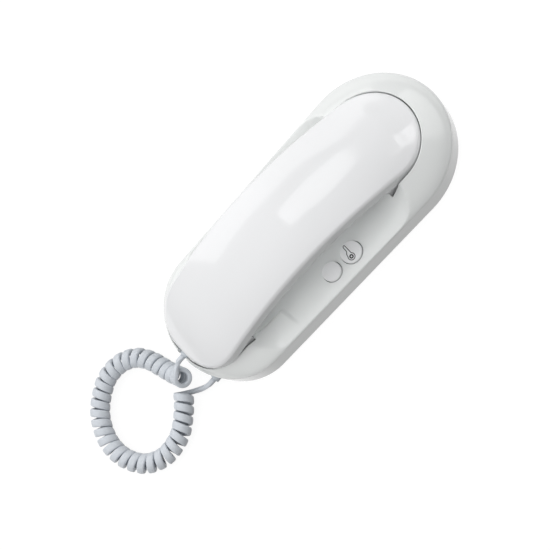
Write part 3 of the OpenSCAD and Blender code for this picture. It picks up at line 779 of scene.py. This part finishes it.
bow, bow_r, eye_r = (2.45, -1.55), 2.15, 0.95
key_line = [(-5.5, 0.1), (-3.6, 0.02), (-1.7, -0.06), (-0.2, -0.1)]
key_line += [(bow[0] + bow_r * math.cos(a), bow[1] + bow_r * math.sin(a))
             for a in np.radians(np.arange(140, -131, -15))]
key_line += [(0.1, -2.95), (-0.9, -2.5), (-1.35, -1.8), (-2.0, -1.5), (-3.6, -1.42), (-5.2, -1.35),
             (-5.75, -0.6)]
key_sign = printed_line("key_sign", chaikin(chaikin(key_line)), sign_half)
key_eye = printed_line("key_eye", [(bow[0] + eye_r * math.cos(a), bow[1] + eye_r * math.sin(a))
                                   for a in np.linspace(2 * math.pi, 0, 36, endpoint=False)], eye_half)

# %% [markdown]
# ## Plastics
# The shells are glossy white plastic. A moulded skin is never quite even: the gloss changes a little from
# place to place, and a very low ripple keeps reflections from being perfect. Each material could have its
# own noise. One shader group does it for all of them, and each material gives it its own values.

# %% Shader group for moulded plastic
def group(name, inputs, outputs):
    tree = bpy.data.node_groups.new(name, "ShaderNodeTree")
    for label, kind, value in inputs:
        tree.interface.new_socket(label, in_out="INPUT", socket_type=kind).default_value = value
    for label, kind in outputs:
        tree.interface.new_socket(label, in_out="OUTPUT", socket_type=kind)
    return tree, tree.nodes.new("NodeGroupInput"), tree.nodes.new("NodeGroupOutput")


def math_node(tree, operation, *inputs):
    """Output of a Math node whose inputs are plain values or sockets to link."""
    node = tree.nodes.new("ShaderNodeMath")
    node.operation = operation
    for socket, value in zip(node.inputs, inputs):
        if isinstance(value, (int, float)):
            socket.default_value = value
        else:
            tree.links.new(value, socket)
    return node.outputs[0]


skin, skin_in, skin_out = group(
    "moulded_skin",
    [("Colour", "NodeSocketColor", (0.8, 0.8, 0.8, 1)), ("Shade", "NodeSocketFloat", 0.02),
     ("Roughness", "NodeSocketFloat", 0.2), ("Uneven", "NodeSocketFloat", 0.05),
     ("Grain", "NodeSocketFloat", 900.0), ("Ripple", "NodeSocketFloat", 0.02)],
    [("Colour", "NodeSocketColor"), ("Roughness", "NodeSocketFloat"), ("Normal", "NodeSocketVector")])
coords = skin.nodes.new("ShaderNodeTexCoord")
cloud = skin.nodes.new("ShaderNodeTexNoise")
cloud.inputs["Scale"].default_value = 22
cloud.inputs["Detail"].default_value = 4
grain = skin.nodes.new("ShaderNodeTexNoise")
grain.inputs["Detail"].default_value = 2
skin.links.new(coords.outputs["Object"], cloud.inputs["Vector"])
skin.links.new(coords.outputs["Object"], grain.inputs["Vector"])
skin.links.new(skin_in.outputs["Grain"], grain.inputs["Scale"])
centred = math_node(skin, "SUBTRACT", cloud.outputs["Fac"], 0.5)
print("group inputs", [socket.name for socket in skin_in.outputs if socket.name])

# %% Colour, roughness and ripple of the group
shade = math_node(skin, "MULTIPLY_ADD", centred, skin_in.outputs["Shade"], 1)
tint = skin.nodes.new("ShaderNodeVectorMath")
tint.operation = "SCALE"
skin.links.new(skin_in.outputs["Colour"], tint.inputs[0])
skin.links.new(shade, tint.inputs["Scale"])
skin.links.new(tint.outputs[0], skin_out.inputs["Colour"])
rough = math_node(skin, "MULTIPLY_ADD", centred, skin_in.outputs["Uneven"], skin_in.outputs["Roughness"])
skin.links.new(rough, skin_out.inputs["Roughness"])
bump = skin.nodes.new("ShaderNodeBump")
bump.inputs["Distance"].default_value = 0.0002
skin.links.new(skin_in.outputs["Ripple"], bump.inputs["Strength"])
skin.links.new(grain.outputs["Fac"], bump.inputs["Height"])
skin.links.new(bump.outputs["Normal"], skin_out.inputs["Normal"])
print("group nodes", len(skin.nodes))

# %% Finishes of the outside
def moulded(name, colour, roughness, shade, uneven, grain, ripple, metallic=0.0, coat=0.0):
    material = bpy.data.materials.new(name)
    material.use_nodes = True
    tree = material.node_tree
    shader = tree.nodes["Principled BSDF"]
    shader.inputs["Metallic"].default_value = metallic
    shader.inputs["Coat Weight"].default_value = coat
    shader.inputs["Coat Roughness"].default_value = 0.06
    node = tree.nodes.new("ShaderNodeGroup")
    node.node_tree = skin
    for label, value in (("Colour", (*colour, 1)), ("Shade", shade), ("Roughness", roughness),
                         ("Uneven", uneven), ("Grain", grain), ("Ripple", ripple)):
        node.inputs[label].default_value = value
    tree.links.new(node.outputs["Colour"], shader.inputs["Base Color"])
    tree.links.new(node.outputs["Roughness"], shader.inputs["Roughness"])
    tree.links.new(node.outputs["Normal"], shader.inputs["Normal"])
    return material


def dress(piece, material):
    piece.data.materials.clear()
    piece.data.materials.append(material)


# name, colour, roughness, shade, uneven, grain, ripple
white = moulded("glossy_white_shell", (0.855, 0.86, 0.87), 0.13, 0.015, 0.04, 700.0, 0.01, coat=0.4)
button_white = moulded("button_white", (0.845, 0.85, 0.86), 0.22, 0.015, 0.04, 900.0, 0.02, coat=0.2)
jacket = moulded("cord_jacket", (0.64, 0.675, 0.72), 0.36, 0.05, 0.1, 1400.0, 0.05)
cover_white = moulded("glossy_white_cover", (0.85, 0.868, 0.86), 0.16, 0.015, 0.04, 700.0, 0.01, coat=0.35)
ink = moulded("sign_ink", (0.03, 0.03, 0.034), 0.4, 0.1, 0.1, 1500.0, 0.02)
for piece, material in ((cover, cover_white), (front, white), (back, white), (door_cap, button_white),
                        (second_cap, button_white), (cord, jacket), (key_sign, ink), (key_eye, ink)):
    dress(piece, material)
print("outside materials", len(bpy.data.materials))

# %% [markdown]
# ## Finishes inside
# The pieces inside the base and the handset are plain CAD solids: matt plate, lacquered board, dark switch
# bodies, zinc screws, rubber and an iron weight. They could be modelled again, but most of them are out of
# sight, so their meshes stay and only get a finish.

# %% Finishes of the CAD pieces
finishes = {
    "plate": moulded("plate_matt", (0.66, 0.68, 0.68), 0.55, 0.05, 0.1, 1600.0, 0.12),
    "board": moulded("board_lacquer", (0.02, 0.16, 0.06), 0.3, 0.2, 0.1, 500.0, 0.05),
    "dark": moulded("dark_plastic", (0.03, 0.03, 0.032), 0.45, 0.1, 0.1, 1500.0, 0.1),
    "green": moulded("terminal_green", (0.03, 0.24, 0.11), 0.4, 0.08, 0.1, 1500.0, 0.08),
    "steel": moulded("zinc_steel", (0.6, 0.61, 0.62), 0.32, 0.12, 0.2, 1200.0, 0.1, metallic=1.0),
    "rubber_grey": moulded("grommet_rubber", (0.58, 0.62, 0.66), 0.5, 0.05, 0.1, 1400.0, 0.1),
    "rubber_black": moulded("gasket_rubber", (0.02, 0.02, 0.02), 0.6, 0.1, 0.1, 1500.0, 0.12),
    "iron": moulded("weight_iron", (0.2, 0.2, 0.21), 0.5, 0.2, 0.2, 600.0, 0.25, metallic=1.0),
}
node_finish = {
    "back_plate": "plate", "circuit_board": "board", "door_switch_body": "dark", "second_switch_body": "dark",
    "door_switch_stem": "dark", "second_switch_stem": "dark", "hook_switch": "dark", "hook_spring": "steel",
    "terminal_block": "green", "terminal_screws": "steel", "call_sounder": "dark", "board_screws": "steel",
    "cover_screws": "steel", "base_cord_grommet": "rubber_grey", "earpiece_capsule": "dark",
    "ear_gasket": "rubber_black", "microphone_capsule": "steel", "microphone_holder": "rubber_black",
    "handset_weight": "iron", "handset_screws": "steel", "handset_cord_grommet": "rubber_grey",
}
for name, finish in node_finish.items():
    dress(nodes[name], finishes[finish])
dress(nodes["hook_plunger"], white)
print("materials", len(bpy.data.materials))

# %% [markdown]
# ## Studio
# The ground is plain white. More light would bleach the object as well, so the floor glows only for the
# camera and for reflections, and the lamps stay at a plain level. Three broad lamps give soft light and are
# kept out of reflections, because their edges would show in the gloss. The others may be mirrored: two walls
# at the left and the rear, a strip high at the left, and a small card close to the ear end. The strip and the
# card make the two bright patches on the crown.

# %% Floor
floor_glow = 0.91
bpy.ops.object.select_all(action="DESELECT")
bpy.ops.mesh.primitive_plane_add(size=6, location=(0, 0, -0.0002))
floor = bpy.context.object
floor.name = floor.data.name = "studio_floor"
paper = bpy.data.materials.new("studio_paper")
paper.use_nodes = True
dress(floor, paper)
tree = paper.node_tree
sheet = tree.nodes["Principled BSDF"]
sheet.inputs["Base Color"].default_value = (0.13, 0.13, 0.13, 1)
sheet.inputs["Roughness"].default_value = 0.9
sheet.inputs["Emission Color"].default_value = (1, 1, 1, 1)
ray = tree.nodes.new("ShaderNodeLightPath")
seen = math_node(tree, "ADD", ray.outputs["Is Camera Ray"], ray.outputs["Is Glossy Ray"])
shown = math_node(tree, "ADD", seen, ray.outputs["Is Transmission Ray"])
tree.links.new(math_node(tree, "MULTIPLY", shown, floor_glow), sheet.inputs["Emission Strength"])
print("floor glow", floor_glow)

# %% Lamps
def panel(name, place, target, long_way, length, width, brightness):
    """A soft box that faces a point, with its long edge along a direction and its brightness as a surface."""
    facing = (Vector(place) - Vector(target)).normalized()
    side = (Vector(long_way) - facing * facing.dot(Vector(long_way))).normalized()
    data = bpy.data.lights.new(name, "AREA")
    data.shape, data.size, data.size_y = "RECTANGLE", length, width
    data.energy = brightness * math.pi * length * width
    lamp = bpy.data.objects.new(name, data)
    bpy.context.scene.collection.objects.link(lamp)
    lamp.location = place
    lamp.rotation_euler = Matrix((side, facing.cross(side), facing)).transposed().to_euler()
    return lamp


middle = (0, 0, 0)
# name, place, target, direction of the long edge, length, width, brightness
broad = [panel("overhead", (0.0, -0.2, 1.28), middle, (0, 1, 0), 1.4, 0.8, 1.98),
         panel("front_wall", (0.06, -1.14, 0.61), middle, (1, 0, 0), 1.0, 0.7, 1.9),
         panel("right_high", (0.7, -0.15, 1.09), middle, (0, 1, 0), 1.2, 0.5, 0.75)]
for lamp in broad:
    lamp.visible_glossy = False
panel("left_wall", (-1.14, 0.0, 0.61), middle, (0, 1, 0), 1.7, 1.15, 1.3)
panel("rear_wall", (-0.06, 1.17, 0.55), middle, (1, 0, 0), 1.4, 0.7, 1.4)
panel("strip", (-0.39, 0.39, 1.18), middle, (-0.03, 0.455, -0.16), 0.65, 0.3, 1.9)
panel("window_card", (0.0234, 0.1785, 0.168), (0.0234, 0.1785, 0), (0.984, -0.18, 0), 0.055, 0.015, 3.0)
print("lamps", len(bpy.data.lights))

# %% Air and view
world = bpy.data.worlds.new("studio_air")
bpy.context.scene.world = world
world.use_nodes = True
air = world.node_tree.nodes["Background"]
air.inputs["Color"].default_value = (1, 1, 1, 1)
air.inputs["Strength"].default_value = 0.19
bpy.context.scene.view_settings.view_transform = "Standard"
print("air strength", round(air.inputs["Strength"].default_value, 2))
